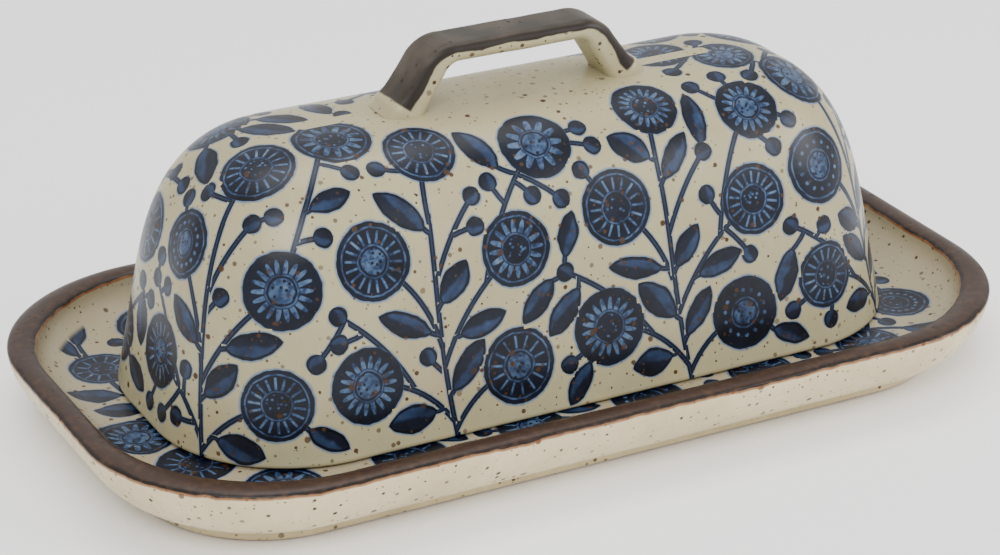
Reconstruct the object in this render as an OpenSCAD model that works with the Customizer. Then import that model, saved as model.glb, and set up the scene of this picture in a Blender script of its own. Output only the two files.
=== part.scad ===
// Butter dish: a footed tray with rounded corners, a domed lift-off cover that stands inside its
// rim, and a strap handle luted to the cover's ridge. +Z is up and +X runs along the dish.
// The origin is under the middle of the foot ring, on the surface that the dish stands on.

/* [Tray] */
// Length of the tray over its rim
tray_l = 197; // [160:1:260]
// Width of the tray over its rim
tray_w = 109; // [90:1:150]
// Plan radius of the tray's corners, at the edge of the rim
tray_r = 37; // [30:0.5:42]
// Width of the rim along the sides
rim_w = 5; // [3:0.5:7]
// Height of the rounded lip above the edge of the rim
lip_h = 1; // [0.5:0.1:2.5]
// How much softer the corners of the well are than those of the rim
well_soft = 3; // [0:0.5:6]
// Depth of the well below the edge of the rim
well_d = 6.4; // [4:0.1:14]
// Width of the coved wall between the rim and the floor of the well
cove_w = 9.5; // [5:0.5:11]
// Thickness of the tray's floor
floor_t = 5.2; // [4:0.1:9]
// How far the base of the belly is set in from the edge of the rim
belly_in = 8.8; // [4:0.2:10]

/* [Foot ring] */
// Height of the foot ring
foot_h = 3.6; // [2:0.1:7]
// Width of the foot ring
foot_w = 5; // [3:0.5:8]
// Step from the base of the belly in to the foot ring
foot_step = 2.2; // [1:0.1:5]

/* [Cover] */
// Gap between the foot of the cover and the inner edge of the rim
cover_gap = 13.2; // [12:0.2:17]
// Clearance between the foot of the cover and the floor of the tray
seat_gap = 0.2; // [0.1:0.05:0.5]
// Height of the cover without its handle
cover_h = 53.8; // [44:0.1:80]
// Height of the straight, leaning part of the cover's wall
wall_h = 19; // [12:0.1:30]
// How far the straight part of the wall leans in
wall_lean = 3.5; // [1:0.1:6]
// Fullness of the dome: 2 is an ellipse, and more is squarer at the shoulder
dome_power = 3.1; // [1.8:0.1:4]
// Plan radius of the cover's corners, at its foot
cover_r = 28.8; // [18:0.2:30]
// Thickness of the cover's wall
cover_t = 4.5; // [3:0.1:6]
// Rounding of the cover's foot
cover_edge = 1.2; // [0.5:0.1:1.4]

/* [Handle] */
// Height of the handle's top above the cover's ridge
handle_rise = 12.8; // [10:0.1:22]
// Half the distance between the corners of the handle, along its middle line
handle_half = 16.6; // [12:0.1:24]
// Angle at which each leg leans out from the vertical
leg_lean = 34; // [10:1:40]
// Width of the strap
strap_w = 10.5; // [7:0.5:16]
// Thickness of the strap across the top
strap_t = 3.8; // [3:0.1:5]
// Thickness of a leg
leg_t = 5.5; // [4:0.1:7]
// Thickness of a leg where it spreads on to the cover
root_t = 8.4; // [6:0.1:11]
// Radius of the bend between the top and a leg, along the middle line
bend_r = 6; // [4:0.5:8]
// Rounding of the strap's long edges
strap_edge = 1.8; // [0.5:0.1:2.4]

/* [Hidden] */

// Colours of the glazes
cream = [0.85, 0.80, 0.72];
grey_cream = [0.81, 0.79, 0.70];
brown = [0.42, 0.38, 0.34];

// Smoothness: points on each plan corner, steps up each curved profile, points on a strap corner
corner_steps = 12;
profile_steps = 8;
strap_steps = 4;

// Facets of the foot ring's corners, and the turn from ring to ring under the cover's foot, degrees
foot_facets = 96;
edge_turn = 30;

// Heights, worked up from the table
floor_z = foot_h + floor_t;
edge_z = floor_z + well_d;
cover_z = floor_z + seat_gap;
ridge_z = cover_z + cover_h;
handle_z = ridge_z + handle_rise - strap_t / 2;

// Plan sizes of the cover, set by the tray, its rim and the gap
cover_hl = tray_l / 2 - rim_w - cover_gap;
cover_hw = tray_w / 2 - rim_w - cover_gap;
cover_corner = min(cover_r, cover_hw);

// The foot ring is set in from the belly
foot_in = belly_in + foot_step;
foot_joint = 1;

// Roundness of the belly and the cove: 2 is an ellipse, and less is flatter
belly_power = 1.6;
cove_power = 2;

// The dome stops this many degrees up, where a narrow flat ridge is left
dome_end = 88.5;

// How far the handle's legs run below the ridge, and over what height they spread
root_depth = 5;
root_spread = 4;

// Smallest plan radius of a ring, and the straight runs that its sides and the strap's always keep
least_r = 0.4;
ring_flat = 0.01;
strap_flat = 0.05;

// One ring round a rounded rectangle: half length, half width, corner radius and height
function ring(hl, hw, r, z) = let (c = max(least_r, min(r, hl, hw) - ring_flat)) [
    for (q = [0 : 3], k = [0 : corner_steps])
        let (a = 90 * (q + k / corner_steps), sx = (q == 0 || q == 3) ? 1 : -1, sy = q < 2 ? 1 : -1)
        [sx * (hl - c) + c * cos(a), sy * (hw - c) + c * sin(a), z]
];

// A solid skinned over rings of equal length, with a flat cap on the first and the last
module skin(rings) {
    n = len(rings[0]);
    m = len(rings);
    sides = [
        for (i = [0 : m - 2], j = [0 : n - 1]) let (k = (j + 1) % n)
            each [[i * n + j, (i + 1) * n + j, (i + 1) * n + k], [i * n + j, (i + 1) * n + k, i * n + k]]
    ];
    first = [for (j = [0 : n - 1]) j];
    last = [for (j = [n - 1 : -1 : 0]) (m - 1) * n + j];
    polyhedron([for (r = rings) each r], concat(sides, [first, last]), convexity = 6);
}

// A flat rounded rectangle, exact at its corners, set in from the edge of the rim
module plan(inset) {
    hl = tray_l / 2 - inset;
    hw = tray_w / 2 - inset;
    r = max(least_r, tray_r - inset);
    square([2 * hl, 2 * (hw - r)], center = true);
    square([2 * (hl - r), 2 * hw], center = true);
    for (sx = [-1, 1], sy = [-1, 1])
        translate([sx * (hl - r), sy * (hw - r)]) circle(r, $fn = foot_facets);
}

// A ring of the tray, set in from the edge of the rim, with softer corners inside the well
function tray_ring(inset, z, soft) =
    ring(tray_l / 2 - inset, tray_w / 2 - inset, max(least_r, tray_r - inset + soft), z);

// Belly: from its base out and up to the edge of the rim
function belly_rings() = [
    for (k = [0 : profile_steps]) let (a = 90 * k / profile_steps, p = 2 / belly_power)
        tray_ring(belly_in * (1 - pow(sin(a), p)), foot_h + (edge_z - foot_h) * (1 - pow(cos(a), p)), 0)
];

// Lip: over the rim from its outer to its inner edge
function lip_rings() = [
    for (k = [1 : profile_steps]) let (a = 180 * k / profile_steps, s = (1 - cos(a)) / 2)
        tray_ring(rim_w * s, edge_z + lip_h * sin(a), well_soft * s)
];

// Cove: from the inner edge of the rim down to the floor of the well
function cove_rings() = [
    for (k = [1 : profile_steps]) let (a = 90 * k / profile_steps, p = 2 / cove_power)
        tray_ring(rim_w + cove_w * (1 - pow(cos(a), p)), edge_z - well_d * pow(sin(a), p), well_soft)
];

module tray() {
    color(cream) union() {
        skin(concat(belly_rings(), lip_rings(), cove_rings()));
        linear_extrude(foot_h + foot_joint) difference() {
            plan(foot_in);
            plan(foot_in + foot_w);
        }
    }
}

// A ring of the cover, at a depth under its outer surface, set in and up from the foot
function cover_ring(depth, inset, up) = let (left = cover_hw - depth - inset)
    ring(cover_hl - depth - inset, left, cover_corner * left / cover_hw, cover_z + up);

// Wall and dome of the cover at a depth under its outer surface. The dome carries on the lean of
// the straight wall, so the two meet smoothly.
function cover_rings(depth) = let (
    lean = wall_lean / wall_h, p = 2 / dome_power, top = cover_h - depth,
    span = cover_hw - depth - lean * top
) [
    cover_ring(depth, lean * cover_edge, cover_edge),
    for (k = [0 : profile_steps])
        let (a = dome_end * k / profile_steps, up = wall_h + (top - wall_h) * pow(sin(a) / sin(dome_end), p))
        cover_ring(depth, lean * up + span * (1 - pow(cos(a), p)), up)
];

// Rounding under the foot of the cover, from the inner wall to the outer wall
function cover_foot_rings() = [
    for (a = [0 : edge_turn : 90])
        cover_ring(0, cover_t - cover_edge * (1 - cos(a)), cover_edge * (1 - sin(a))),
    for (a = [90 : -edge_turn : edge_turn])
        cover_ring(0, cover_edge * (1 - cos(a)), cover_edge * (1 - sin(a)))
];

function reversed(list) = [for (k = [len(list) - 1 : -1 : 0]) list[k]];

module cover() {
    color(grey_cream) skin(concat(reversed(cover_rings(cover_t)), cover_foot_rings(), cover_rings(0)));
}

// The cover's outer shape as a full solid, which trims the roots of the handle
module cover_outer() {
    skin(concat([cover_ring(0, 0, 0)], cover_rings(0)));
}

// Section of the strap: a rounded rectangle across the width, with its thickness along the normal
function strap_section(t) = let (
    r = min(strap_edge, t / 2 - strap_flat), w = strap_w / 2 - r, h = t / 2 - r
) [
    for (q = [0 : 3], k = [0 : strap_steps])
        let (a = 90 * (q + k / strap_steps), sx = (q == 0 || q == 3) ? 1 : -1, sy = q < 2 ? 1 : -1)
        [sx * w + r * cos(a), sy * h + r * sin(a)]
];

// A ring of the strap at a point of its middle line, square to a direction that dips by an angle
function strap_ring(x, z, dip, t) = [
    for (p = strap_section(t)) [x + p[1] * sin(dip), p[0], z + p[1] * cos(dip)]
];

// Right half of the strap, from the middle of the top, round the bend and down the leg
leg_dip = 90 - leg_lean;
bar_half = handle_half - bend_r * tan(leg_dip / 2);
bend_x = bar_half + bend_r * sin(leg_dip);
bend_z = handle_z - bend_r * (1 - cos(leg_dip));
leg_len = (bend_z - ridge_z + root_depth) / sin(leg_dip);
root_len = (root_depth + root_spread) / sin(leg_dip);

// Thickness of a leg at a length down it, spreading smoothly towards its root
function leg_thick(s) = let (f = max(0, min(1, (s - leg_len + root_len) / root_len)))
    leg_t + (root_t - leg_t) * f * f;

function bend_rings() = [
    for (k = [0 : profile_steps]) let (f = k / profile_steps, a = leg_dip * f)
        [bar_half + bend_r * sin(a), handle_z - bend_r * (1 - cos(a)), a, strap_t + (leg_t - strap_t) * f]
];

function leg_rings() = [
    for (k = [1 : profile_steps]) let (s = leg_len * k / profile_steps)
        [bend_x + s * cos(leg_dip), bend_z - s * sin(leg_dip), leg_dip, leg_thick(s)]
];

module handle() {
    half = concat(bend_rings(), leg_rings());
    right = [for (h = half) strap_ring(h[0], h[1], h[2], h[3])];
    left = [for (h = half) strap_ring(-h[0], h[1], -h[2], h[3])];
    color(brown) difference() {
        skin(concat(reversed(left), right));
        cover_outer();
    }
}

tray();
cover();
handle();
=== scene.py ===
import math
import random

import bpy
import numpy as np
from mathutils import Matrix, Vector, noise
from mathutils.bvhtree import BVHTree


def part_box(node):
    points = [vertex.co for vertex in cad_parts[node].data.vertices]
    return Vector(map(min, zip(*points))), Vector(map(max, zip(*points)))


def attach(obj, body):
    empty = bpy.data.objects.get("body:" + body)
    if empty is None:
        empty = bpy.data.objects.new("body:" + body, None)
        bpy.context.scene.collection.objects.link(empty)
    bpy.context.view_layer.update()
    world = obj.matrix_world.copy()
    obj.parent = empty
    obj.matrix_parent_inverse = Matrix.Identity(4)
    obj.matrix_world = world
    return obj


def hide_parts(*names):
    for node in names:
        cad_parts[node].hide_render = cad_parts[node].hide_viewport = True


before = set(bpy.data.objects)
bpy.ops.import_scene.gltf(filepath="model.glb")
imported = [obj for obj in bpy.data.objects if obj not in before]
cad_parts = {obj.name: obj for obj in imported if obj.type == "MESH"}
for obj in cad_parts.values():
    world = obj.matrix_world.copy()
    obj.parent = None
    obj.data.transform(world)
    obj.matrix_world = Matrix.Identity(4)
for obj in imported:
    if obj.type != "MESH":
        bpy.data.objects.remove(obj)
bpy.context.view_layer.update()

mm = 0.001
leastRadius = 0.02    # mm
quarter = math.pi / 2

handSeed = 7    # without it the unevenness of the clay would be drawn from the clock
noise.seed_set(handSeed)

tray = {
    "cornerRadius": 37.0,      # plan radius at the edge of the rim, mm
    "rimWidth": 5.0,
    "lipHeight": 1.0,
    "wellSoft": 3.0,           # how much softer the corners of the well are
    "wellDepth": 6.4,
    "coveWidth": 9.5,
    "floor": 5.2,
    "bellyIn": 8.8,
    "footHeight": 3.6,
    "footStep": 2.2,
    "footWidth": 5.0,
    "footRound": 1.1,          # the turned edges of the foot ring
    "footFillet": 1.2,         # inside the foot ring, under the floor
    "footCorner": 0.8,         # where the foot ring meets the belly
    "bellyPower": 1.6,         # 2 is an ellipse, less is flatter
    "leastHalf": 0.4,          # half width of the smallest ring, in the middle of the floor
    "wobble": 0.22,            # how far hand work leaves the clay from true, mm
    "wobbleSeed": 3.1,
    "ringPoints": (118, 34, 56),   # on each long side, short side and corner
}

cover = {
    "cornerRadius": 28.8,
    "wallHeight": 19.0,
    "wallLean": 3.5,
    "dome": 3.1,               # 2 is an ellipse, more is squarer at the shoulder
    "domeEnd": 89.2,           # degrees up the dome, where a narrow ridge is left
    "thickness": 4.5,
    "footRound": 1.2,
    "wobble": 0.25,
    "wobbleSeed": 9.7,
    "outerSteps": 54,
    "innerSteps": 20,
    "ringPoints": (102, 14, 44),
}

handle = {
    "halfSpan": 16.6,          # to the corner of the middle line
    "lean": 34.0,              # degrees from the vertical
    "width": 10.5,
    "thickness": 3.8,
    "legThickness": 5.5,
    "rootThickness": 8.4,
    "bend": 6.0,
    "edge": 1.8,
    "rootSpread": 3.0,         # the clay smoothed out on to the cover
    "depth": 2.4,              # how far the roots run into the cover
    "rootPower": 2.2,          # how late the clay spreads
    "rootWiden": 1.0,          # how much wider and rounder a root is than the strap
    "rootRound": 1.6,
    "legShare": 0.35,          # of the thickening, the part that comes on evenly down the leg
    "waver": (0.5, 14.0),      # unevenness of the width and the wavelength it has, mm
    "dent": (0.12, 6.0),       # and of the faces
    "bendSteps": 14,
    "legSteps": 34,
    "ringPoints": (10, 4, 8),
}

camera = {
    "azimuth": -27.87,
    "elevation": 24.6,
    "distance": 0.6063,
    "target": (-0.0019, 0.0, 0.0220),
    "lens": 107.9,
    "sensor": 36.0,
    "clipStart": 0.01,
}

sheen = 0.28             # how strongly every glaze mirrors the studio
reliefDepth = 0.0004     # of the mottling, metres
glazes = {
    "cover": (161, 154, 121),
    # the well takes the cover's darker cream, which is painted shade inside the well under the rim and the
    # cover. The tray's outside is lighter and warmer: partly its own glaze, partly painted light from the
    # bright table
    "well": (153, 143, 117),
    "tray": (213, 197, 158),
    "rim": (48, 31, 21),
    "rimEdge": (20, 9, 3),
    "rimBreak": (120, 64, 22),
    "strap": (44, 38, 30),
    "strapEdge": (22, 12, 6),
    "mottle": (150, 132, 98),
    "dust": (140, 122, 90),
    "speck": (62, 38, 16),
    "rimCloud": (76, 52, 34),
    "bareClay": (158, 132, 100),
    "strapCloud": (74, 65, 55),
    "strapSpeck": (30, 18, 10),
}

# amount of ink on the glaze, and the indigo it gives
inkTones = (
    (0.0, (122, 136, 144)), (0.28, (74, 97, 124)), (0.52, (34, 51, 80)), (0.74, (11, 18, 36)),
    (1.0, (2, 4, 10)),
)

# iron specks: how fine they lie, least and most size in their cell, and the share of cells with one
specks = ((240.0, 0.08, 0.16, 1.0), (420.0, 0.09, 0.20, 0.8), (800.0, 0.10, 0.20, 0.45))


# a blossom's brushwork, as shares of its radius, and how often each kind of ring is drawn
blossomStyle = {
    "ringMiddle": 0.62,
    "ringHalf": 0.15,
    "heart": 0.41,
    "edge": 0.865,
    "dotRing": 0.63,
    "spokesBelow": 0.38,
    "dotsAbove": 0.70,
}


def roundedRing(halfLength, halfWidth, radius, height, counts):
    # one ring of points round a rounded rectangle, each straight and corner with its own count
    longCount, shortCount, cornerCount = counts
    c = max(leastRadius, min(radius, halfLength - leastRadius, halfWidth - leastRadius))
    x, y = halfLength - c, halfWidth - c
    points = []
    corners = [(x, y, 0), (-x, y, 90), (-x, -y, 180), (x, -y, 270)]
    for q, (cx, cy, start) in enumerate(corners):
        for k in range(cornerCount):
            a = math.radians(start + 90 * k / cornerCount)
            points.append((cx + c * math.cos(a), cy + c * math.sin(a), height))
        nx, ny, turn = corners[(q + 1) % 4]
        a = math.radians(start + 90)
        ax, ay = cx + c * math.cos(a), cy + c * math.sin(a)
        bx, by = nx + c * math.cos(a), ny + c * math.sin(a)
        count = longCount if q % 2 == 0 else shortCount
        for k in range(count):
            f = k / count
            points.append((ax + (bx - ax) * f, ay + (by - ay) * f, height))
    return points


def storeVectors(mesh, values, domain):
    for key, numbers in values.items():
        attribute = mesh.attributes.new(key, "FLOAT_VECTOR", domain)
        attribute.data.foreach_set("vector", np.asarray(numbers, dtype=np.float32).ravel())


def addObject(name, data):
    item = bpy.data.objects.new(name, data)
    bpy.context.scene.collection.objects.link(item)
    return item


def skinMesh(name, rings, values):
    # skin rings of equal length into one closed mesh, with a cap at each end
    n, m = len(rings[0]), len(rings)
    points = [tuple(c * mm for c in p) for r in rings for p in r]
    faces = []
    for i in range(m - 1):
        for j in range(n):
            k = (j + 1) % n
            faces.append((i * n + j, i * n + k, (i + 1) * n + k, (i + 1) * n + j))
    faces.append(tuple(range(n - 1, -1, -1)))
    faces.append(tuple((m - 1) * n + j for j in range(n)))
    mesh = bpy.data.meshes.new(name)
    mesh.from_pydata(points, [], faces)
    mesh.polygons.foreach_set("use_smooth", [True] * len(faces))
    storeVectors(mesh, values, "POINT")
    mesh.validate()
    mesh.update()
    return addObject(name, mesh)


def handWork(rings, piece, low):
    # soft unevenness, wider than it is deep, that comes on above a low height to leave the foot true
    amount, seed = piece["wobble"], piece["wobbleSeed"]
    out = []
    for ring in rings:
        row = []
        for x, y, z in ring:
            v = noise.noise_vector(Vector((x / 38 + seed, y / 38, z / 30)))
            f = amount * min(1.0, max(0.0, (z - low) / 4))
            row.append((x + v[0] * f, y + v[1] * f, z + v[2] * f * 0.6))
        out.append(row)
    return out


def arc(start, end, steps):
    return [start + (end - start) * k / steps for k in range(steps + 1)]


def runAlong(profile):
    # distance from the first point of a profile to each of its points
    run = [0.0]
    for a, b in zip(profile, profile[1:]):
        run.append(run[-1] + math.hypot(b[0] - a[0], b[1] - a[1]))
    return run


trayLow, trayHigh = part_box("tray")
trayHalf = [(trayHigh[i] - trayLow[i]) / 2 / mm for i in range(2)]
floorZ = tray["footHeight"] + tray["floor"]
edgeZ = floorZ + tray["wellDepth"]
footIn = tray["bellyIn"] + tray["footStep"]


def trayProfile():
    # (inset, height, softness) from the middle of the underside, round the lip, to the middle of
    # the well
    footTop, r = tray["footHeight"], tray["footRound"]
    fillet, corner = tray["footFillet"], tray["footCorner"]
    inner = footIn + tray["footWidth"]
    middle = trayHalf[1] - tray["leastHalf"]
    p = [(i, footTop, 0) for i in np.linspace(middle, inner + fillet, 14)]
    p += [(inner + fillet * (1 - math.sin(a)), footTop - fillet * (1 - math.cos(a)), 0)
          for a in arc(0, quarter, 4)[1:]]
    p += [(inner - r * (1 - math.cos(a)), r * (1 - math.sin(a)), 0) for a in arc(0, quarter, 4)]
    p += [(footIn + r * (1 - math.sin(a)), r * (1 - math.cos(a)), 0) for a in arc(0, quarter, 4)]
    p += [(footIn - corner * (1 - math.cos(a)), footTop - corner * (1 - math.sin(a)), 0)
          for a in arc(0, quarter, 3)]
    power = 2 / tray["bellyPower"]
    for a in arc(0, quarter, 16):
        rise = 1 - math.cos(a) ** power if a < quarter else 1.0
        p.append((tray["bellyIn"] * (1 - math.sin(a) ** power), footTop + (edgeZ - footTop) * rise, 0))
    for a in arc(0, math.pi, 14)[1:]:
        s = (1 - math.cos(a)) / 2
        p.append((tray["rimWidth"] * s, edgeZ + tray["lipHeight"] * math.sin(a), tray["wellSoft"] * s))
    for a in arc(0, quarter, 14)[1:]:
        p.append((tray["rimWidth"] + tray["coveWidth"] * (1 - max(0.0, math.cos(a))),
                  edgeZ - tray["wellDepth"] * math.sin(a), tray["wellSoft"]))
    inset = tray["rimWidth"] + tray["coveWidth"]
    p += [(i, floorZ, tray["wellSoft"]) for i in np.linspace(inset, middle, 42)[1:]]
    return p


def buildTray():
    profile = trayProfile()
    rings, marks = [], []
    run = runAlong(profile)
    crest = run[max(range(len(profile)), key=lambda k: profile[k][1])]
    for (inset, z, soft), travelled in zip(profile, run):
        ring = roundedRing(trayHalf[0] - inset, trayHalf[1] - inset, tray["cornerRadius"] - inset + soft,
                           z, tray["ringPoints"])
        rings.append(ring)
        marks += [(travelled - crest, inset, z)] * len(ring)
    return skinMesh("glazed_tray", handWork(rings, tray, 1.0), {"rimAt": marks})


coverLow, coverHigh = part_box("cover")
coverHalf = [(coverHigh[i] - coverLow[i]) / 2 / mm for i in range(2)]
coverZ = coverLow[2] / mm
coverTall = (coverHigh[2] - coverLow[2]) / mm


def coverProfile(depth, steps):
    # (inset, height) up the wall and over the dome, at a depth under the outer surface
    lean = cover["wallLean"] / cover["wallHeight"]
    top = coverTall - depth
    span = coverHalf[1] - depth - lean * top
    heights = np.linspace(cover["footRound"], cover["wallHeight"], steps // 3)
    wall = [(lean * h, h) for h in heights[:-1]]
    power = 2 / cover["dome"]
    dome = []
    for a in arc(0.0, math.radians(cover["domeEnd"]), 400):
        h = cover["wallHeight"] + (top - cover["wallHeight"]) * math.sin(a) ** power
        dome.append((lean * h + span * (1 - math.cos(a) ** power), h))
    run = runAlong(dome)
    even = np.linspace(0, run[-1], steps)
    dome = list(zip(*(np.interp(even, run, part) for part in zip(*dome))))
    return [(inset + depth, h) for inset, h in wall + dome]


def coverRing(inset, height):
    left = coverHalf[1] - inset
    return roundedRing(coverHalf[0] - inset, left, cover["cornerRadius"] * left / coverHalf[1],
                       coverZ + height, cover["ringPoints"])


outerProfile = coverProfile(0.0, cover["outerSteps"])


def buildCover():
    r, t = cover["footRound"], cover["thickness"]
    outerFoot = [(r * (1 - math.sin(a)), r * (1 - math.cos(a))) for a in arc(0, quarter, 4)[:-1]]
    profile = coverProfile(t, cover["innerSteps"])[::-1]
    profile += [(t - r * (1 - math.cos(a)), r * (1 - math.sin(a))) for a in arc(0, quarter, 4)]
    outside = len(profile)
    profile += outerFoot + outerProfile
    rings = [coverRing(inset, height) for inset, height in profile]
    marks = []
    for k, ring in enumerate(rings):
        marks += [(1.0 if k >= outside else 0.0, profile[k][1], 0.0)] * len(ring)
    return skinMesh("glazed_cover", handWork(rings, cover, coverZ + 1), {"wallAt": marks})


def strapPath():
    # (x, height, dip, thickness, spread) along the middle line, from one root over to the other
    bend, thin, leg = handle["bend"], handle["thickness"], handle["legThickness"]
    dip = math.radians(90 - handle["lean"])
    barHalf = handle["halfSpan"] - bend * math.tan(dip / 2)
    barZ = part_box("handle")[1][2] / mm - thin / 2
    bendX = barHalf + bend * math.sin(dip)
    bendZ = barZ - bend * (1 - math.cos(dip))
    legLength = (bendZ - (coverZ + coverTall) + handle["depth"]) / math.sin(dip)
    sunk = handle["depth"] / math.sin(dip)
    half = [(x, barZ, 0.0, thin, 0.0) for x in np.linspace(0.5, barHalf, 14)[:-1]]
    for a in arc(0, dip, handle["bendSteps"]):
        half.append((barHalf + bend * math.sin(a), barZ - bend * (1 - math.cos(a)), a,
                     thin + (leg - thin) * a / dip, 0.0))
    for s in np.linspace(0, legLength, handle["legSteps"])[1:]:
        near = (s - legLength + sunk + handle["rootSpread"]) / handle["rootSpread"]
        spread = min(1.0, max(0.0, near)) ** handle["rootPower"]
        early = min(1.0, s / (legLength - sunk)) ** 2
        grown = handle["legShare"] * early + (1 - handle["legShare"]) * spread
        half.append((bendX + s * math.cos(dip), bendZ - s * math.sin(dip), dip,
                     leg + (handle["rootThickness"] - leg) * grown, spread))
    return [(-x, z, -a, t, f) for x, z, a, t, f in half[::-1]] + half


def buildHandle():
    # a flat strap bent over, thicker in the legs, with its roots smoothed on to the cover
    (waver, waverLength), (dent, dentLength) = handle["waver"], handle["dent"]
    rings, marks = [], []
    for x, z, a, thick, spread in strapPath():
        wide = (handle["width"] + handle["rootWiden"] * spread
                + waver * noise.noise(Vector((x / waverLength, 2.0, 5.0))))
        rounding = min(handle["edge"] + handle["rootRound"] * spread, thick / 2 - 0.1)
        section = roundedRing(wide / 2, thick / 2, rounding, 0.0, handle["ringPoints"])
        ring = []
        for across, up, _ in section:
            uneven = dent * noise.noise(Vector((x / dentLength, across / 5, up / 4 + 8)))
            ring.append((x + (up + uneven) * math.sin(a), across, z + (up + uneven) * math.cos(a)))
            marks.append((across, up / (thick / 2), spread))
        rings.append(ring)
    return skinMesh("strap_handle", rings, {"strapAt": marks})


print("clay: tray, cover and handle")
trayPiece, coverPiece, handlePiece = buildTray(), buildCover(), buildHandle()


# The painted vine is laid out in millimetres on the wall: u round the foot, s up over the dome.
vine = {
    "roots": (22.0, 74.0, 126.0, 178.0),   # where main stems rise along half the wall
    "blossomRadius": 7.3,
    "leafHalf": (5.5, 2.6),
    "berryHalf": 1.9,
    "stemWidth": 1.05,
    "stemLap": 0.8,                        # each short length of stem runs on under the next
    "footReach": 12.0,                     # a branch's foot joins a stem no farther off than this
    "leafGap": 2.4,                        # try for a leaf this often along a stem
    "markGap": 0.45,                       # bare glaze kept between marks
    "stemGap": 0.85,                       # and between a mark and another branch's stem
    "footClear": 2.0,                      # plain glaze over the foot of the cover
    "leafStalk": 1.3,
    "berryStalk": 5.4,
    "berryShare": 0.18,
    "blossomTries": 900,                   # places tried for a further blossom
    "leafTries": 6000,                     # places tried for a further leaf or berry
    "longestTwig": 17.0,
    "seed": 11,
    "clearHalf": (31.0, 57.0),             # plain glaze round the handle: half length, girth it starts at
}

# each branch of a main stem: where it leaves (u, s), where its blossom sits (u, s), how it bows
sprays = [
    ((0, -1), (-2, 44), 0.05, None),
    ((0, 3), (-17, 14.5), -0.22, "blossom"),
    ((0, 1), (14, 11.5), 0.22, "blossom"),
    ((-1, 16), (-14, 37), -0.18, "blossom"),
    ((0, 13), (17, 33), 0.20, "blossom"),
    ((-2, 40), (0, 55), 0.10, "blossom"),
    ((8, 29), (25, 52), 0.16, "blossom"),
    ((-1, 30), (8, 44), 0.15, "berry"),
    ((15, 20), (28, 21), 0.2, "berry"),
    ((-9, 9), (-25, 26), -0.16, "berry"),
    ((20, 44), (34, 64), 0.12, "blossom"),
]

girth = [0.0]
for (i0, h0), (i1, h1) in zip(outerProfile, outerProfile[1:]):
    girth.append(girth[-1] + math.hypot(i1 - i0, h1 - h0))
sheetPieces = (coverHalf[1] - cover["cornerRadius"], cover["cornerRadius"] * math.pi / 2,
               2 * (coverHalf[0] - cover["cornerRadius"]))
sheetLength = 2 * sheetPieces[0] + 2 * sheetPieces[1] + sheetPieces[2]


def onCover(u, s):
    # a point of the wall's sheet carried on to the cover; the second half is the first turned round
    turned = u < 0 or u >= sheetLength
    u = u % sheetLength
    inset = np.interp(s, girth, [p[0] for p in outerProfile])
    height = np.interp(s, girth, [p[1] for p in outerProfile]) + min(0.0, s)
    left, long = coverHalf[1] - inset, coverHalf[0] - inset
    r = cover["cornerRadius"] * left / coverHalf[1]
    side, corner, front = sheetPieces
    if u < side:
        x, y = -long, -(left - r) * u / side
    elif u < side + corner:
        a = (u - side) / corner * math.pi / 2
        x, y = -(long - r) - r * math.cos(a), -(left - r) - r * math.sin(a)
    elif u < side + corner + front:
        x, y = (long - r) * (2 * (u - side - corner) / front - 1), -left
    elif u < side + 2 * corner + front:
        a = (u - side - corner - front) / corner * math.pi / 2
        x, y = (long - r) + r * math.sin(a), -(left - r) - r * math.cos(a)
    else:
        x, y = long, -(left - r) * (sheetLength - u) / side
    sign = -1 if turned else 1
    return Vector((sign * x, sign * y, coverZ + height))


def onTray(x, y):
    return Vector((x, y, floorZ))


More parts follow.
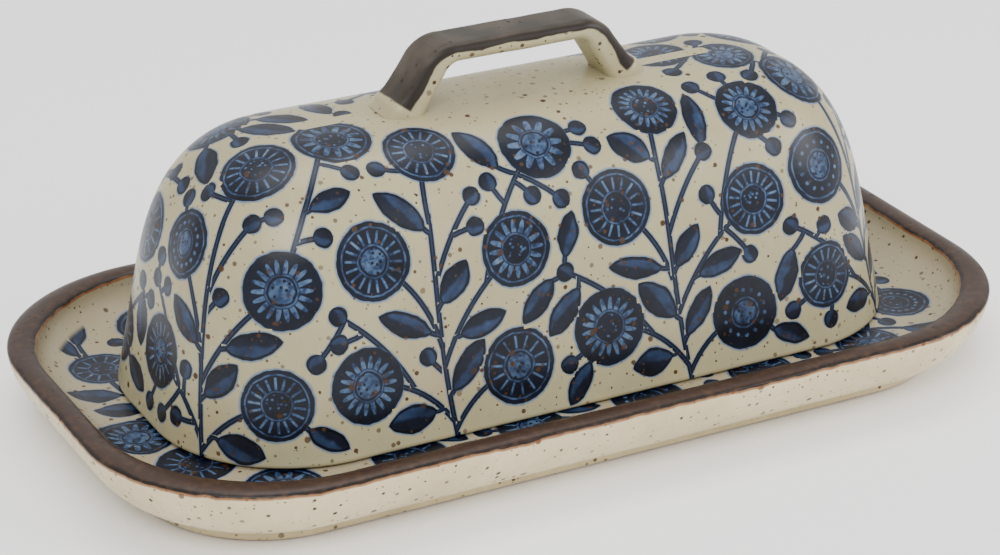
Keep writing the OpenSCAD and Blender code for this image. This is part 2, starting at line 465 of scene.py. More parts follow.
class Painter:
    # keeps every mark and stem of one painted piece, and keeps marks off each other
    def __init__(self, place, allowed, piece, shuffle):
        self.place, self.allowed, self.shuffle = place, allowed, shuffle
        self.marks, self.stems, self.taken, self.trodden = [], [], [], []
        points = [v.co / mm for v in piece.data.vertices]
        sides = [tuple(f.vertices) for f in piece.data.polygons if len(f.vertices) < 5]
        self.skin = BVHTree.FromPolygons(points, sides)

    def settle(self, spot):
        # the nearest point of the clay, and the way it faces
        found, normal, _, _ = self.skin.find_nearest(spot)
        return found, normal

    def free(self, spots, own=None):
        for spot, r in spots:
            if not self.allowed(spot):
                return False
            if any((spot - other).length < r + radius + vine["markGap"] for other, radius in self.taken):
                return False
            if own is not None and any((spot - other).length < r + vine["stemGap"]
                                       for branch, other in self.trodden if branch != own):
                return False
        return True

    def mark(self, kind, centre, along, half):
        centre, up = self.settle(centre)
        along = (along - up * along.dot(up)).normalized()
        self.marks.append((kind, centre, along, up.cross(along).normalized(), half, self.shuffle.random()))

    def stem(self, path, trodden=True):
        # a stroke through a few points, each brought on to the clay
        settled = [self.settle(p) for p in path]
        if trodden:
            self.trodden += [(len(self.stems), p) for p, _ in settled]
        self.stems.append(([p for p, _ in settled], [up for _, up in settled]))

    def bowed(self, a, b, bow, steps=8):
        # a stroke from one point of the clay to another, bent to one side
        up = self.settle((a + b) / 2)[1]
        middle = (a + b) / 2 + up.cross(b - a) * bow
        return [a * (1 - t) ** 2 + middle * 2 * t * (1 - t) + b * t * t for t in np.linspace(0, 1, steps)]

    def branch(self, start, end, bow, tip):
        du, ds = end[0] - start[0], end[1] - start[1]
        middle = (start[0] + du / 2 - ds * bow, start[1] + ds / 2 + du * bow)
        steps = max(4, int(math.hypot(du, ds) / 1.6))
        path = []
        for t in np.linspace(0, 1, steps + 1):
            a, b, c = (1 - t) ** 2, 2 * t * (1 - t), t * t
            path.append(self.place(*(a * start[i] + b * middle[i] + c * end[i] for i in range(2))))
        if tip and self.trodden:
            # its foot moves on to the nearest stem, and the rest follows less and less towards the tip
            shift = min((p - path[0] for _, p in self.trodden), key=lambda way: way.length)
            if shift.length < vine["footReach"]:
                path = [p + shift * (1 - k / steps) ** 2 for k, p in enumerate(path)]
        radius = vine["berryHalf"]
        if tip == "blossom":
            radius = vine["blossomRadius"] * (0.9 + 0.16 * self.shuffle.random())
        if tip:
            if not self.free([(path[-1], radius)]):
                return
            self.taken.append((path[-1], radius))
            self.mark(1 if tip == "blossom" else 3, path[-1], path[-1] - path[-2], (radius, radius))
        self.stem(path)

    def leafSpots(self, centre, way, long, wide):
        return [(self.settle(centre + way * long * f)[0], wide * g)
                for f, g in ((-0.5, 0.7), (0.05, 0.95), (0.6, 0.6))]

    def addLeaf(self, root, centre, way, long, wide, own):
        spots = self.leafSpots(centre, way, long, wide)
        if not self.free(spots, own):
            return False
        self.taken += spots
        self.mark(2, centre, way, (long, wide))
        self.stem(self.bowed(root, centre - way * long * 0.9, 0.08, 4), trodden=False)
        return True

    def addBerry(self, root, centre, own):
        if not self.free([(centre, vine["berryHalf"])], own):
            return False
        self.taken.append((centre, vine["berryHalf"]))
        self.mark(3, centre, centre - root, (vine["berryHalf"],) * 2)
        self.stem(self.bowed(root, centre, 0.06, 4), trodden=False)
        return True

    def dress(self):
        # leaves in turn on either side of each stem, and a berry on a short stalk here and there
        side = 1
        for own, (path, ups) in enumerate(list(self.stems)):
            run, due = 0.0, 3.0
            for k in range(1, len(path)):
                run += (path[k] - path[k - 1]).length
                if run < due:
                    continue
                due += vine["leafGap"]
                along = (path[k] - path[k - 1]).normalized()
                across = ups[k].cross(along)
                for turn in (side, -side):
                    grow = 0.78 + 0.34 * self.shuffle.random()
                    angle = turn * math.radians(36 + 28 * self.shuffle.random())
                    way = (along * math.cos(angle) + across * math.sin(angle)).normalized()
                    if self.shuffle.random() < vine["berryShare"]:
                        berryAt = self.settle(path[k] + way * vine["berryStalk"])[0]
                        done = self.addBerry(path[k], berryAt, own)
                    else:
                        long = vine["leafHalf"][0] * grow
                        wide = vine["leafHalf"][1] * (0.85 + 0.3 * self.shuffle.random())
                        leafAt = path[k] + way * (long + vine["leafStalk"])
                        done = self.addLeaf(path[k], leafAt, way, long, wide, own)
                    if done:
                        side = -turn
                        break

    def fill(self, sheet, tries, kind):
        # look for bare glaze near a stem, and grow a twig out to it
        for _ in range(tries):
            spot = self.settle(self.place(*(self.shuffle.uniform(*span) for span in sheet)))[0]
            bow = self.shuffle.uniform(-0.16, 0.16)
            size = self.shuffle.random()
            if not self.allowed(spot):
                continue
            gap, (own, root) = min(((spot - p).length, (branch, p)) for branch, p in self.trodden)
            if kind == "blossom":
                radius = vine["blossomRadius"] * (0.84 + 0.16 * size)
                if gap > vine["longestTwig"] + 4 or not self.free([(spot, radius)], -1):
                    continue
                self.taken.append((spot, radius))
                self.mark(1, spot, spot - root, (radius, radius))
                self.stem(self.bowed(root, spot, bow))
                continue
            if not 3.0 < gap < vine["longestTwig"]:
                continue
            twig = self.bowed(root, spot, bow)
            if any((p - other).length < radius for other, radius in self.taken
                   if (root - other).length > radius for p in twig[1:-2]):
                continue
            if size < 0.25:
                self.addBerry(root, spot, own)
                continue
            grow = 0.7 + 0.4 * size
            long, wide = vine["leafHalf"][0] * grow, vine["leafHalf"][1] * grow
            self.addLeaf(root, spot, (twig[-1] - twig[-2]).normalized(), long, wide, own)


def layCoverVine():
    shuffle = random.Random(vine["seed"])
    low, start = vine["clearHalf"]
    highZ = onCover(sheetLength / 2, start)[2]

    def allowed(p):
        return not (p[2] > highZ and abs(p[0]) < low) and p[2] > coverZ + vine["footClear"]

    painter = Painter(onCover, allowed, coverPiece, shuffle)
    todo = []
    for turn in (0.0, sheetLength):
        for root in vine["roots"]:
            for (u0, s0), (u1, s1), bow, tip in sprays:
                jog = (shuffle.random() * 3 - 1.5, shuffle.random() * 3 - 1.5) if tip else (0.0, 0.0)
                u = root + turn
                todo.append(((u + u0, s0), (u + u1 + jog[0], s1 + jog[1]), bow, tip))
    todo.sort(key=lambda b: (b[3] is not None, b[3] != "blossom"))
    for spray in todo:
        painter.branch(*spray)
    sheet = ((0, 2 * sheetLength), (3, girth[-1]))
    painter.fill(sheet, vine["blossomTries"], "blossom")
    painter.dress()
    painter.fill(sheet, vine["leafTries"], "leaf")
    return painter


def layTrayVine():
    painter = Painter(onTray, lambda p: True, trayPiece, random.Random(vine["seed"] + 5))
    # one stem down the middle, with branches off it to both sides and both ends
    todo = [((-80, 0), (80, 0), 0.03, None)]
    for turn in (1, -1):
        for x in range(-66, 65, 26):
            todo.append(((turn * (x - 10), 0), (turn * (x + 3), turn * 38), -0.12 * turn, "blossom"))
            todo.append(((turn * (x - 4), turn * 10), (turn * (x + 14), turn * 22), -0.2 * turn, "blossom"))
        todo.append(((turn * 76, 0), (turn * 84, turn * 7), 0.1, "blossom"))
        todo.append(((turn * 74, 0), (turn * 79, -turn * 24), 0.2, "blossom"))
    for spray in todo:
        painter.branch(*spray)
    painter.dress()
    painter.fill(((-85, 85), (-42, 42)), vine["leafTries"] // 3, "leaf")
    return painter


def faceMesh(name, faces, values):
    # flat faces with a few vectors stored on each
    points, polygons = [], []
    for corners in faces:
        polygons.append(tuple(range(len(points), len(points) + len(corners))))
        points += [tuple(c * mm for c in p) for p in corners]
    mesh = bpy.data.meshes.new(name)
    mesh.from_pydata(points, [], polygons)
    storeVectors(mesh, values, "FACE")
    return addObject(name, mesh)


def markFaces(name, painter):
    faces, values = [], {"origin": [], "along": [], "across": [], "facts": [], "seeds": []}
    for kind, centre, along, across, (long, wide), seed in painter.marks:
        angles = [2 * math.pi * k / 14 for k in range(14)]
        faces.append([centre + along * long * math.cos(a) + across * wide * math.sin(a) for a in angles])
        values["origin"].append([c * mm for c in centre])
        values["along"].append(along)
        values["across"].append(across)
        values["facts"].append((kind, long, wide))
        values["seeds"].append((seed, 0, 0))
    return faceMesh(name, faces, values)


def stemFaces(name, painter):
    faces, values = [], {"origin": [], "along": [], "across": [], "facts": []}
    half = vine["stemWidth"] / 2
    for path, ups in painter.stems:
        for p, q, up in zip(path, path[1:], ups):
            along = (q - p).normalized()
            across = up.cross(along).normalized()
            faces.append([p - across * half, q - across * half, q + across * half, p + across * half])
            values["origin"].append([c * mm for c in (p + q) / 2])
            values["along"].append(along)
            values["across"].append(across)
            values["facts"].append(((q - p).length / 2 + vine["stemLap"], half, 0))
    return faceMesh(name, faces, values)


# ways to wire nodes, the same in a geometry tree and in a material
def wire(tree, value, socket):
    if isinstance(value, bpy.types.NodeSocket):
        tree.links.new(value, socket)
    else:
        socket.default_value = value


def calc(tree, operation, *values, clamp=False):
    node = tree.nodes.new("ShaderNodeMath")
    node.operation, node.use_clamp = operation, clamp
    for value, socket in zip(values, node.inputs):
        wire(tree, value, socket)
    return node.outputs[0]


def plus(tree, a, b, clamp=False):
    return calc(tree, "ADD", a, b, clamp=clamp)


def minus(tree, a, b, clamp=False):
    return calc(tree, "SUBTRACT", a, b, clamp=clamp)


def times(tree, a, b):
    return calc(tree, "MULTIPLY", a, b)


def larger(tree, a, b):
    return calc(tree, "MAXIMUM", a, b)


def unsigned(tree, a):
    return calc(tree, "ABSOLUTE", a)


def distance(tree, x, y):
    return calc(tree, "SQRT", plus(tree, times(tree, x, x), times(tree, y, y)))


def vector(tree, operation, *values):
    node = tree.nodes.new("ShaderNodeVectorMath")
    node.operation = operation
    for value, socket in zip(values, node.inputs):
        wire(tree, value, socket)
    return node.outputs["Value" if operation in ("DOT_PRODUCT", "LENGTH") else "Vector"]


def scaled(tree, value, amount):
    node = tree.nodes.new("ShaderNodeVectorMath")
    node.operation = "SCALE"
    wire(tree, value, node.inputs[0])
    wire(tree, amount, node.inputs["Scale"])
    return node.outputs[0]


def joined(tree, x, y, z):
    node = tree.nodes.new("ShaderNodeCombineXYZ")
    for value, socket in zip((x, y, z), node.inputs):
        wire(tree, value, socket)
    return node.outputs[0]


def parted(tree, value):
    node = tree.nodes.new("ShaderNodeSeparateXYZ")
    wire(tree, value, node.inputs[0])
    return node.outputs


def slope(tree, value, low, high, start=0.0, end=1.0):
    node = tree.nodes.new("ShaderNodeMapRange")
    node.interpolation_type = "SMOOTHSTEP"
    for item, socket in zip((value, low, high, start, end), node.inputs):
        wire(tree, item, socket)
    return node.outputs[0]


# The vine goes on in a Geometry Nodes tree: each face takes the mark and the stem nearest to it, and
# its corners keep where they are on that mark, so a brush stroke is drawn at any size.
def vineTree():
    tree = bpy.data.node_groups.new("vineOnGlaze", "GeometryNodeTree")
    sockets = {}
    for name, kind in (("Geometry", "Geometry"), ("Marks", "Object"), ("Stems", "Object"),
                       ("Glaze", "Material"), ("Unit", "Float")):
        sockets[name] = tree.interface.new_socket(name, in_out="INPUT", socket_type="NodeSocket" + kind)
    sockets["Unit"].default_value = mm
    tree.interface.new_socket("Geometry", in_out="OUTPUT", socket_type="NodeSocketGeometry")
    given = tree.nodes.new("NodeGroupInput").outputs
    result = tree.nodes.new("NodeGroupOutput").inputs
    where = tree.nodes.new("GeometryNodeInputPosition").outputs[0]
    middle = tree.nodes.new("GeometryNodeFieldOnDomain")
    middle.domain, middle.data_type = "FACE", "FLOAT_VECTOR"
    tree.links.new(where, middle.inputs[0])
    perUnit = calc(tree, "DIVIDE", 1.0, given["Unit"])

    def nearest(source, name):
        info = tree.nodes.new("GeometryNodeObjectInfo")
        tree.links.new(source, info.inputs["Object"])
        stored = tree.nodes.new("GeometryNodeInputNamedAttribute")
        stored.data_type = "FLOAT_VECTOR"
        stored.inputs["Name"].default_value = name
        sample = tree.nodes.new("GeometryNodeSampleNearestSurface")
        sample.data_type = "FLOAT_VECTOR"
        tree.links.new(info.outputs["Geometry"], sample.inputs["Mesh"])
        tree.links.new(stored.outputs[0], sample.inputs["Value"])
        tree.links.new(middle.outputs[0], sample.inputs["Sample Position"])
        return sample.outputs[0]

    def local(source):
        offset = scaled(tree, vector(tree, "SUBTRACT", where, nearest(source, "origin")), perUnit)
        return (vector(tree, "DOT_PRODUCT", offset, nearest(source, "along")),
                vector(tree, "DOT_PRODUCT", offset, nearest(source, "across")))

    def keep(geometry, name, value):
        store = tree.nodes.new("GeometryNodeStoreNamedAttribute")
        store.data_type, store.domain = "FLOAT_VECTOR", "CORNER"
        store.inputs["Name"].default_value = name
        tree.links.new(geometry, store.inputs["Geometry"])
        tree.links.new(value, store.inputs["Value"])
        return store.outputs[0]

    x, y = local(given["Marks"])
    seed = parted(tree, nearest(given["Marks"], "seeds"))[0]
    geometry = keep(given["Geometry"], "markAt", joined(tree, x, y, seed))
    geometry = keep(geometry, "markIs", nearest(given["Marks"], "facts"))
    x, y = local(given["Stems"])
    half = parted(tree, nearest(given["Stems"], "facts"))
    past = larger(tree, minus(tree, unsigned(tree, x), half[0]), 0.0)
    geometry = keep(geometry, "stemAt", joined(tree, past, y, half[1]))
    real = tree.nodes.new("GeometryNodeRealizeInstances")
    tree.links.new(geometry, real.inputs[0])
    coat = tree.nodes.new("GeometryNodeSetMaterial")
    tree.links.new(real.outputs[0], coat.inputs["Geometry"])
    tree.links.new(given["Glaze"], coat.inputs["Material"])
    tree.links.new(coat.outputs[0], result[0])
    return tree


def paintVine(piece, painter, tree, glaze):
    marks = markFaces("marks", painter)
    stems = stemFaces("stems", painter)
    layer = piece.modifiers.new("vine", "NODES")
    layer.node_group = tree
    names = {s.name: s.identifier for s in tree.interface.items_tree if s.in_out == "INPUT"}
    for name, value in (("Marks", marks), ("Stems", stems), ("Glaze", glaze), ("Unit", mm)):
        layer[names[name]] = value
    graph = bpy.context.evaluated_depsgraph_get()
    done = bpy.data.meshes.new_from_object(piece.evaluated_get(graph), preserve_all_data_layers=True,
                                           depsgraph=graph)
    piece.modifiers.clear()
    piece.data = done
    for helper in (marks, stems):
        bpy.data.objects.remove(helper)


def paint(r, g, b):
    # a colour given as it looks on a screen
    def straight(c):
        c /= 255
        return c / 12.92 if c <= 0.04045 else ((c + 0.055) / 1.055) ** 2.4
    return (straight(r), straight(g), straight(b), 1.0)


def tint(name):
    return paint(*glazes[name])


def newGroup(name, inputs, outputs):
    tree = bpy.data.node_groups.new(name, "ShaderNodeTree")
    for label, kind, value in inputs:
        socket = tree.interface.new_socket(label, in_out="INPUT", socket_type="NodeSocket" + kind)
        if value is not None:
            socket.default_value = value
    for label, kind in outputs:
        tree.interface.new_socket(label, in_out="OUTPUT", socket_type="NodeSocket" + kind)
    return tree, tree.nodes.new("NodeGroupInput").outputs, tree.nodes.new("NodeGroupOutput").inputs


def placed(tree, group, **values):
    node = tree.nodes.new("ShaderNodeGroup")
    node.node_tree = group
    for name, value in values.items():
        wire(tree, value, node.inputs[name])
    return node.outputs


def grain(tree, place, scale, detail=2.0, rough=0.5):
    node = tree.nodes.new("ShaderNodeTexNoise")
    tree.links.new(place, node.inputs["Vector"])
    node.inputs["Scale"].default_value = scale
    node.inputs["Detail"].default_value = detail
    node.inputs["Roughness"].default_value = rough
    return node.outputs[0]


def waver(tree, place, scale, reach, detail=2.0):
    # grain that swings half its reach to either side of 0
    return calc(tree, "MULTIPLY_ADD", grain(tree, place, scale, detail), reach, -reach / 2)


def cells(tree, place, scale):
    node = tree.nodes.new("ShaderNodeTexVoronoi")
    tree.links.new(place, node.inputs["Vector"])
    node.inputs["Scale"].default_value = scale
    return node.outputs


def blend(tree, factor, a, b):
    node = tree.nodes.new("ShaderNodeMix")
    node.data_type = "RGBA"
    for value, socket in ((factor, node.inputs[0]), (a, node.inputs[6]), (b, node.inputs[7])):
        wire(tree, value, socket)
    return node.outputs[2]


def band(tree, value, middle, half, soft):
    # 1 within half of the middle, falling softly to 0
    away = unsigned(tree, minus(tree, value, middle))
    return slope(tree, away, half, half + soft, 1.0, 0.0)


def blossomGroup():
    tree, given, result = newGroup("blossomBrush", [("At", "Vector", None), ("Radius", "Float", 7.0)],
                                   [("Ink", "Float"), ("Body", "Float")])
    at = parted(tree, given["At"])
    seed, radius = at[2], given["Radius"]
    style = blossomStyle
    flat = joined(tree, at[0], at[1], times(tree, seed, 40.0))
    far = distance(tree, at[0], at[1])
    wobble = minus(tree, grain(tree, flat, 0.45, 1.0), 0.5)
    far = plus(tree, far, times(tree, wobble, 0.6))
    r = calc(tree, "DIVIDE", far, radius)
    # spokes, petals or dots round the ring, as the seed picks
    turn = plus(tree, calc(tree, "ARCTAN2", at[1], at[0]), times(tree, seed, 6.28))
    half = plus(tree, calc(tree, "FLOOR", times(tree, seed, 4.0)), 6.0)
    angle = times(tree, turn, half)
    wave = unsigned(tree, calc(tree, "SINE", angle))
    arcLength = calc(tree, "DIVIDE", far, half)
    spoke = times(tree, wave, arcLength)
    between = times(tree, unsigned(tree, calc(tree, "COSINE", angle)), arcLength)
    ringZone = band(tree, r, style["ringMiddle"], style["ringHalf"], 0.04)
    spokes = times(tree, slope(tree, spoke, 0.16, 0.34, 1.0, 0.0), ringZone)
    petalEdge = minus(tree, wave, times(tree, minus(tree, r, 0.40), 1.9))
    petals = times(tree, slope(tree, petalEdge, 0.12, 0.30), ringZone)
    dotX = times(tree, minus(tree, r, style["dotRing"]), radius)
    dotFar = distance(tree, dotX, between)
    dots = slope(tree, dotFar, 0.32, 0.52, 1.0, 0.0)
    choice = calc(tree, "FRACT", times(tree, seed, 7.3))
    first = calc(tree, "LESS_THAN", choice, style["spokesBelow"])
    last = calc(tree, "GREATER_THAN", choice, style["dotsAbove"])
    second = minus(tree, minus(tree, 1.0, first), last)
    pattern = plus(tree, times(tree, spokes, first),
                   plus(tree, times(tree, petals, second), times(tree, dots, last)))
    # a fine line near the edge and one round the heart, which is seeded light on dark or dark on light
    ringed = calc(tree, "GREATER_THAN", calc(tree, "FRACT", times(tree, seed, 13.7)), 0.35)
    edge = times(tree, band(tree, r, style["edge"], 0.012, 0.03), times(tree, ringed, 0.85))
    inner = times(tree, band(tree, r, style["heart"], 0.012, 0.03), 0.8)
    comb = cells(tree, flat, 0.95)
    pips = slope(tree, comb["Distance"], 0.24, 0.36, 1.0, 0.0)
    paleHeart = calc(tree, "GREATER_THAN", calc(tree, "FRACT", times(tree, seed, 23.1)), 0.5)
    pips = unsigned(tree, minus(tree, pips, paleHeart))
    seeds = times(tree, times(tree, pips, 0.9), slope(tree, r, 0.31, 0.36, 1.0, 0.0))
    light = pattern
    for more in (edge, inner, seeds):
        light = larger(tree, light, more)
    light = times(tree, light, slope(tree, grain(tree, flat, 0.8, 2.0), 0.25, 0.6, 0.45, 1.0))
    wash = times(tree, minus(tree, grain(tree, flat, 0.22, 2.0), 0.5), 0.55)
    ink = minus(tree, plus(tree, 0.86, wash), times(tree, light, 0.50), clamp=True)
    body = slope(tree, far, minus(tree, radius, 0.12), plus(tree, radius, 0.12), 1.0, 0.0)
    halo = slope(tree, far, plus(tree, radius, 0.05), plus(tree, radius, 0.85), 0.26, 0.0)
    tree.links.new(larger(tree, times(tree, ink, body), halo), result["Ink"])
    tree.links.new(body, result["Body"])
    return tree


def leafGroup():
    tree, given, result = newGroup(
        "leafBrush", [("At", "Vector", None), ("HalfLength", "Float", 5.0), ("HalfWidth", "Float", 2.4),
                      ("Point", "Float", 0.8)], [("Ink", "Float"), ("Body", "Float")])
    at = parted(tree, given["At"])
    long, wide = given["HalfLength"], given["HalfWidth"]
    flat = joined(tree, at[0], at[1], times(tree, at[2], 40.0))
    x = calc(tree, "DIVIDE", at[0], long)
    side = plus(tree, at[1], times(tree, minus(tree, grain(tree, flat, 0.35, 1.0), 0.5), 0.9))
    outside = times(tree, larger(tree, minus(tree, unsigned(tree, x), 1.0), 0.0), long)
    swell = calc(tree, "POWER", larger(tree, minus(tree, 1.0, times(tree, x, x)), 0.0), given["Point"])
    reach = minus(tree, unsigned(tree, side), times(tree, swell, wide))
    reach = plus(tree, reach, outside)
    rim = slope(tree, reach, -0.75, -0.25, 0.0, 0.38)
    shade = slope(tree, plus(tree, side, times(tree, x, 0.8)), -0.5, 0.6, 0.0, 0.24)
    wash = times(tree, minus(tree, grain(tree, flat, 0.3, 2.0), 0.5), 0.5)
    ink = plus(tree, plus(tree, 0.60, rim), plus(tree, shade, wash), clamp=True)
    body = slope(tree, reach, -0.1, 0.12, 1.0, 0.0)
    halo = slope(tree, reach, 0.05, 0.75, 0.26, 0.0)
    tree.links.new(larger(tree, times(tree, ink, body), halo), result["Ink"])
    tree.links.new(body, result["Body"])
    return tree


def stemGroup():
    tree, given, result = newGroup("stemBrush", [("At", "Vector", None)], [("Ink", "Float")])
    at = parted(tree, given["At"])
    away = distance(tree, at[0], at[1])
    core = slope(tree, away, 0.08, 0.3, 0.62, 0.92)
    body = slope(tree, minus(tree, away, at[2]), -0.1, 0.12, 1.0, 0.0)
    halo = slope(tree, minus(tree, away, at[2]), 0.05, 0.6, 0.22, 0.0)
    tree.links.new(larger(tree, times(tree, core, body), halo), result["Ink"])
    return tree


def stonewareGroup():
    # mottled glaze with iron specks that melt up through whatever is painted under them
    tree, given, result = newGroup(
        "stonewareGlaze",
        [("Place", "Vector", None), ("Glaze", "Color", (0.6, 0.6, 0.5, 1)), ("Specks", "Float", 1.0),
         ("Paint", "Color", (0, 0, 0, 1)), ("Amount", "Float", 0.0)],
        [("Color", "Color"), ("Roughness", "Float"), ("Height", "Float")])
    place = given["Place"]
    cloud = grain(tree, place, 55.0, 3.0, 0.55)
    fine = grain(tree, place, 420.0, 2.0)
    glaze = blend(tree, slope(tree, cloud, 0.3, 0.75, 0.0, 0.30), given["Glaze"], tint("mottle"))
    glaze = blend(tree, slope(tree, fine, 0.35, 0.7, 0.10, 0.0), glaze, tint("dust"))
    color = blend(tree, given["Amount"], glaze, given["Paint"])
    total = None
    for scale, least, most, share in specks:
        spot = cells(tree, place, scale)
        pick = parted(tree, spot["Color"])
        size = calc(tree, "MULTIPLY_ADD", pick[1], most - least, least)
        ragged = waver(tree, place, scale * 9, 0.06, 1.0)
        dot = slope(tree, minus(tree, plus(tree, spot["Distance"], ragged), size), -0.03, 0.03, 1.0, 0.0)
        kept = calc(tree, "LESS_THAN", pick[0], times(tree, given["Specks"], share))
        dot = times(tree, times(tree, dot, kept), slope(tree, pick[2], 0.0, 1.0, 0.6, 1.0))
        total = dot if total is None else larger(tree, total, dot)
    color = blend(tree, total, color, tint("speck"))
    tree.links.new(color, result["Color"])
    rough = plus(tree, slope(tree, cloud, 0.3, 0.7, 0.25, 0.36), times(tree, total, 0.15))
    tree.links.new(rough, result["Roughness"])
    height = plus(tree, times(tree, cloud, 0.7), times(tree, fine, 0.12))
    height = minus(tree, height, times(tree, total, 0.10))
    tree.links.new(height, result["Height"])
    return tree


def indigoGroup(blossom, leaf, stem):
    # every stroke of the vine, as one amount of ink and the indigo that amount gives
    tree, given, result = newGroup(
        "indigoVine", [("Mark", "Vector", None), ("Facts", "Vector", None), ("Stem", "Vector", None),
                       ("Brush", "Vector", None)], [("Color", "Color"), ("Amount", "Float")])
    facts = parted(tree, given["Facts"])
    isBlossom = calc(tree, "LESS_THAN", facts[0], 1.5)
    isBerry = calc(tree, "GREATER_THAN", facts[0], 2.5)
    flower = placed(tree, blossom, At=given["Mark"], Radius=facts[1])
    point = calc(tree, "MULTIPLY_ADD", isBerry, -0.3, 0.8)
    leaves = placed(tree, leaf, At=given["Mark"], HalfLength=facts[1], HalfWidth=facts[2], Point=point)
    notBlossom = minus(tree, 1.0, isBlossom)
    ink = plus(tree, times(tree, flower["Ink"], isBlossom), times(tree, leaves["Ink"], notBlossom))
    body = plus(tree, times(tree, flower["Body"], isBlossom), times(tree, leaves["Body"], notBlossom))
    stalk = times(tree, placed(tree, stem, At=given["Stem"])["Ink"], minus(tree, 1.0, body))
    ink = larger(tree, ink, stalk)
    brush = waver(tree, given["Brush"], 900.0, 0.24)
    ink = plus(tree, ink, times(tree, brush, ink), clamp=True)
    ramp = tree.nodes.new("ShaderNodeValToRGB")
    tree.links.new(ink, ramp.inputs[0])
    stops = ramp.color_ramp.elements
    while len(stops) < len(inkTones):
        stops.new(0.5)
    for stop, (position, tone) in zip(stops, inkTones):
        stop.position, stop.color = position, paint(*tone)
    tree.links.new(ramp.outputs[0], result["Color"])
    tree.links.new(slope(tree, ink, 0.02, 0.34), result["Amount"])
    return tree


def startMaterial(name):
    material = bpy.data.materials.new(name)
    material.use_nodes = True
    tree = material.node_tree
    tree.nodes.clear()
    shader = tree.nodes.new("ShaderNodeBsdfPrincipled")
    output = tree.nodes.new("ShaderNodeOutputMaterial")
    tree.links.new(shader.outputs[0], output.inputs[0])
    place = tree.nodes.new("ShaderNodeTexCoord").outputs["Object"]
    return material, tree, shader, place


def stored(tree, name):
    node = tree.nodes.new("ShaderNodeAttribute")
    node.attribute_name = name
    return node.outputs["Vector"]


def finishMaterial(tree, shader, color, rough, height):
    shader.inputs["Specular IOR Level"].default_value = sheen
    tree.links.new(color, shader.inputs["Base Color"])
    tree.links.new(rough, shader.inputs["Roughness"])
    bump = tree.nodes.new("ShaderNodeBump")
    bump.inputs["Strength"].default_value = 0.5
    bump.inputs["Distance"].default_value = reliefDepth
    tree.links.new(height, bump.inputs["Height"])
    tree.links.new(bump.outputs[0], shader.inputs["Normal"])


stoneware, blossomInk, leafInk, stemInk = stonewareGroup(), blossomGroup(), leafGroup(), stemGroup()
indigo = indigoGroup(blossomInk, leafInk, stemInk)


def vineOn(tree, place):
    return placed(tree, indigo, Mark=stored(tree, "markAt"), Facts=stored(tree, "markIs"),
                  Stem=stored(tree, "stemAt"), Brush=place)


def glazed(tree, place, glaze, vineInk, where):
    # stoneware glaze with the vine painted on it as far as a mask reaches
    amount = times(tree, vineInk["Amount"], where)
    return placed(tree, stoneware, Place=place, Glaze=glaze, Specks=1.0, Paint=vineInk["Color"],
                  Amount=amount)


def coverGlaze():
    material, tree, shader, place = startMaterial("cover_glaze")
    vineInk = vineOn(tree, place)
    outer = slope(tree, parted(tree, stored(tree, "wallAt"))[0], 0.6, 0.95)
    glaze = glazed(tree, place, tint("cover"), vineInk, outer)
    finishMaterial(tree, shader, glaze["Color"], glaze["Roughness"], glaze["Height"])
    return material


def trayGlaze():
    material, tree, shader, place = startMaterial("tray_glaze")
    vineInk = vineOn(tree, place)
    rim = parted(tree, stored(tree, "rimAt"))
    # the well is the stretch of profile past the rim, painted up to the foot of the cove
    well = slope(tree, rim[0], 8.0, 9.5)
    # the lighter cream outside the lip is partly the glaze's own warmer tone and partly painted light from
    # the table; past the lip, the darker well colour is painted shade
    side = blend(tree, slope(tree, rim[0], -1.0, 3.0), tint("tray"), tint("well"))
    glaze = glazed(tree, place, side, vineInk, well)
    # iron wash round the rim, with a wavering edge that runs a little where it is thick
    run = waver(tree, place, 60.0, 1.2)
    run = plus(tree, run, waver(tree, place, 260.0, 0.9))
    away = plus(tree, unsigned(tree, plus(tree, rim[0], 0.15)), run)
    iron = slope(tree, away, 2.45, 2.75, 1.0, 0.0)
    breaking = times(tree, band(tree, away, 2.75, 0.1, 0.45), 0.85)
    dark = slope(tree, plus(tree, away, times(tree, grain(tree, place, 150.0), 0.8)), 1.9, 2.6)
    ironColor = blend(tree, dark, tint("rim"), tint("rimEdge"))
    cloud = slope(tree, grain(tree, place, 500.0, 3.0), 0.45, 0.75, 0.0, 0.5)
    ironColor = blend(tree, cloud, ironColor, tint("rimCloud"))
    color = blend(tree, breaking, glaze["Color"], tint("rimBreak"))
    color = blend(tree, iron, color, ironColor)
    # bare clay where the foot was wiped
    foot = slope(tree, plus(tree, rim[2], times(tree, grain(tree, place, 120.0), 0.5)), 0.45, 0.75, 1.0, 0.0)
    color = blend(tree, foot, color, tint("bareClay"))
    rough = plus(tree, times(tree, foot, 0.4), plus(tree, glaze["Roughness"], times(tree, iron, 0.06)))
    finishMaterial(tree, shader, color, rough, glaze["Height"])
    return material


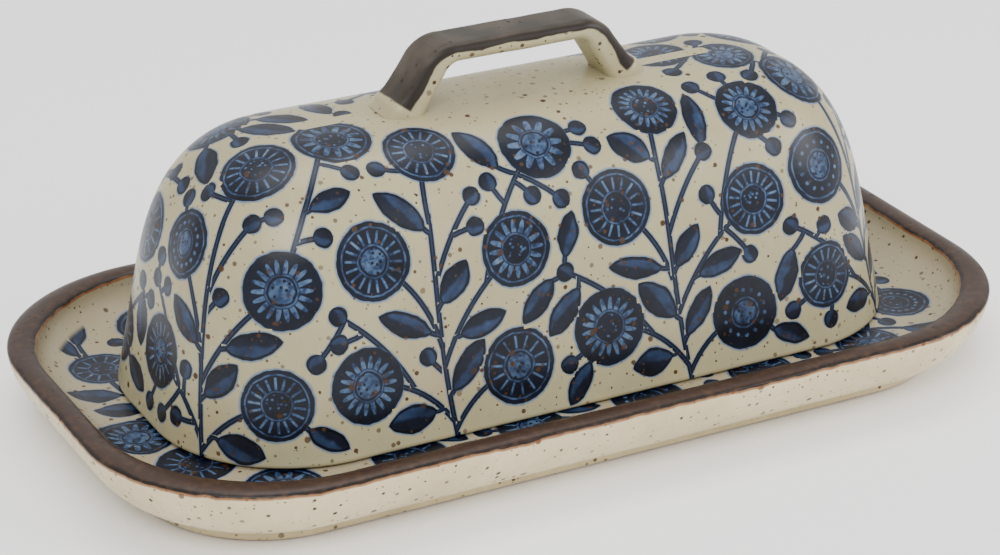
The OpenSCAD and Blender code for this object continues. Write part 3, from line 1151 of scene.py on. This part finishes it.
def handleGlaze():
    material, tree, shader, place = startMaterial("handle_glaze")
    at = parted(tree, stored(tree, "strapAt"))
    glaze = placed(tree, stoneware, Place=place, Glaze=tint("cover"), Specks=0.7)
    ragged = waver(tree, place, 160.0, 0.7)
    up = plus(tree, at[1], ragged)
    bare = plus(tree, at[2], times(tree, ragged, 0.6))
    iron = times(tree, slope(tree, up, 0.10, 0.26), slope(tree, bare, 0.35, 0.6, 1.0, 0.0))
    edge = larger(tree, band(tree, up, 0.3, 0.22, 0.35),
                slope(tree, plus(tree, unsigned(tree, at[0]), ragged), 4.2, 4.9))
    cloud = slope(tree, grain(tree, place, 90.0, 3.0), 0.35, 0.7)
    ground = blend(tree, cloud, tint("strap"), tint("strapCloud"))
    brown = blend(tree, times(tree, edge, 0.85), ground, tint("strapEdge"))
    dots = cells(tree, place, 420.0)
    pick = parted(tree, dots["Color"])
    kept = calc(tree, "LESS_THAN", pick[0], 0.45)
    spots = times(tree, slope(tree, dots["Distance"], 0.12, 0.24, 1.0, 0.0), kept)
    brown = blend(tree, times(tree, spots, 0.8), brown, tint("strapSpeck"))
    color = blend(tree, iron, glaze["Color"], brown)
    rough = plus(tree, glaze["Roughness"], times(tree, iron, 0.12))
    finishMaterial(tree, shader, color, rough, glaze["Height"])
    return material


print("vine: laid out and painted on")
painted = vineTree()
paintVine(coverPiece, layCoverVine(), painted, coverGlaze())
paintVine(trayPiece, layTrayVine(), painted, trayGlaze())
handlePiece.data.materials.append(handleGlaze())

for piece, node, body in ((trayPiece, "tray", "tray"), (coverPiece, "cover", "cover"),
                          (handlePiece, "handle", "cover")):
    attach(piece, body)
    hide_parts(node)


# table, lights and camera
def buildTable():
    bpy.ops.mesh.primitive_plane_add(size=12)
    table = bpy.context.object
    table.name = "pale_table"
    material, tree, shader, place = startMaterial("pale_table")
    cloud = grain(tree, place, 3.0, 2.0)
    pale = blend(tree, cloud, (0.94, 0.94, 0.94, 1), (0.96, 0.96, 0.96, 1))
    tree.links.new(pale, shader.inputs["Base Color"])
    shader.inputs["Roughness"].default_value = 0.9
    table.data.materials.append(material)


# each light's place, size and power; all of them face the dish
lights = {
    "key": ((-0.55, -0.75, 0.95), (0.8, 0.6), 11.0),
    "fill": ((0.85, -0.65, 0.55), (0.7, 0.6), 8.0),
    "top": ((0.05, 0.25, 1.1), (0.9, 0.6), 6.0),
}
lightAim = Vector((0.0, 0.0, 0.03))


def softbox(name, place, size, power):
    lamp = bpy.data.lights.new(name, "AREA")
    lamp.shape, lamp.size, lamp.size_y, lamp.energy = "RECTANGLE", size[0], size[1], power
    holder = addObject(name, lamp)
    holder.location = place
    holder.rotation_euler = (lightAim - Vector(place)).to_track_quat("-Z", "Y").to_euler()


def buildStudio():
    world = bpy.data.worlds.new("studio")
    bpy.context.scene.world = world
    world.use_nodes = True
    world.node_tree.nodes["Background"].inputs[0].default_value = (1.0, 1.0, 1.0, 1.0)
    world.node_tree.nodes["Background"].inputs[1].default_value = 1.0
    for name, (place, size, power) in lights.items():
        softbox(name, place, size, power)


def buildCamera():
    a, e = math.radians(camera["azimuth"]), math.radians(camera["elevation"])
    back = Vector((math.sin(a) * math.cos(e), -math.cos(a) * math.cos(e), math.sin(e)))
    lens = bpy.data.cameras.new("camera")
    lens.lens, lens.sensor_width, lens.sensor_fit = camera["lens"], camera["sensor"], "HORIZONTAL"
    lens.clip_start = camera["clipStart"]
    holder = addObject("camera", lens)
    holder.location = Vector(camera["target"]) + back * camera["distance"]
    holder.rotation_euler = (-back).to_track_quat("-Z", "Y").to_euler()
    bpy.context.scene.camera = holder


print("studio: table, lights and camera")
buildTable()
buildStudio()
buildCamera()
